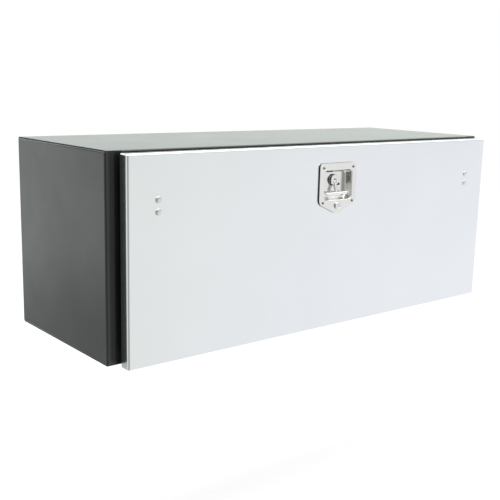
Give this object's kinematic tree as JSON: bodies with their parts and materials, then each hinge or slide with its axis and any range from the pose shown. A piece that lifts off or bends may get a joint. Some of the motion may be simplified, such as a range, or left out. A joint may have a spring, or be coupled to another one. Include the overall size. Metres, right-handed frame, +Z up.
{
  "type": "underbody tool box",
  "caption": "Long black sheet-steel tool box with a drop-down polished steel door, recessed folding T-handle latch, key lock, latch rods and bulb seal.",
  "frame": {"origin": "centre of the bounding box's base, with the door shut", "axes": "+X along the box's length to the right as the door is faced, +Z up, -Y out through the door"},
  "size_m": [1.2192, 0.4654, 0.4617],
  "materials": {
    "black_coat": "semi-gloss black powder coat",
    "polished_stainless": "polished stainless steel",
    "brushed_stainless": "satin stainless steel",
    "rivet_steel": "dull stainless steel",
    "zinc_steel": "bright zinc plate",
    "black_rubber": "matt black rubber",
    "nylon": "natural nylon"
  },
  "bodies": {
    "box": {"body_wrapper": "black_coat", "end_panel_left": "black_coat", "end_panel_right": "black_coat", "door_frame": "black_coat", "door_seal": "black_rubber", "striker_left": "zinc_steel", "striker_right": "zinc_steel", "cable_anchor_body_left": "zinc_steel", "cable_anchor_body_right": "zinc_steel", "hinge_body_leaf": "brushed_stainless", "hinge_pin": "brushed_stainless"},
    "door": {"hinge_door_leaf": "brushed_stainless", "door_pan": "polished_stainless", "door_stiffener_lower": "zinc_steel", "door_stiffener_middle": "zinc_steel", "cable_anchor_door_left": "zinc_steel", "cable_anchor_door_right": "zinc_steel", "latch_gasket": "black_rubber", "latch_plate": "brushed_stainless", "plate_rivet_1": "rivet_steel", "plate_rivet_2": "rivet_steel", "plate_rivet_3": "rivet_steel", "plate_rivet_4": "rivet_steel", "guide_rivet_1": "rivet_steel", "guide_rivet_2": "rivet_steel", "guide_rivet_3": "rivet_steel", "guide_rivet_4": "rivet_steel", "spindle_bush": "zinc_steel", "lock_cylinder": "brushed_stainless", "lock_nut": "zinc_steel", "rod_guide_left": "zinc_steel", "rod_guide_right": "zinc_steel", "guide_bush_left": "nylon", "guide_bush_right": "nylon"},
    "latch_rotor": {"latch_hub": "brushed_stainless", "handle_pin": "brushed_stainless", "spindle": "zinc_steel", "cam_plate": "zinc_steel", "spindle_nut": "zinc_steel"},
    "handle": {"t_handle": "polished_stainless"},
    "left_rod": {"rod_left": "zinc_steel"},
    "right_rod": {"rod_right": "zinc_steel"},
    "lock_core": {"key_plug": "polished_stainless", "lock_pawl": "zinc_steel"}
  },
  "joints": [
    {"name": "door_hinge", "type": "hinge", "parent": "box", "child": "door", "pos_m": [0, -0.1898, 0.0058], "axis": [1, 0, 0], "range_deg": [0, 90]},
    {"name": "handle_turn", "type": "hinge", "parent": "door", "child": "latch_rotor", "pos_m": [0.0126, -0.2, 0.3703], "axis": [0, 1, 0], "range_deg": [0, 45]},
    {"name": "handle_fold", "type": "hinge", "parent": "latch_rotor", "child": "handle", "pos_m": [0.0126, -0.2137, 0.3683], "axis": [-1, 0, 0], "range_deg": [0, 90]},
    {"name": "rod_left_slide", "type": "slide", "parent": "door", "child": "left_rod", "axis": [-1, 0, 0], "range_m": [0, 0.01837]},
    {"name": "rod_right_slide", "type": "slide", "parent": "door", "child": "right_rod", "axis": [1, 0, 0], "range_m": [0, 0.01837]},
    {"name": "key_turn", "type": "hinge", "parent": "door", "child": "lock_core", "pos_m": [0.0126, -0.21, 0.3088], "axis": [0, -1, 0], "range_deg": [0, 90]}
  ],
  "couplings": [
    {"joint": "rod_right_slide", "follows": "rod_left_slide", "ratio": 1},
    {"joint": "handle_turn", "follows": "rod_left_slide", "rad_per_m": 42.75},
    {"joint": "handle_fold", "follows": "rod_left_slide", "rad_per_m": 85.5}
  ]
}
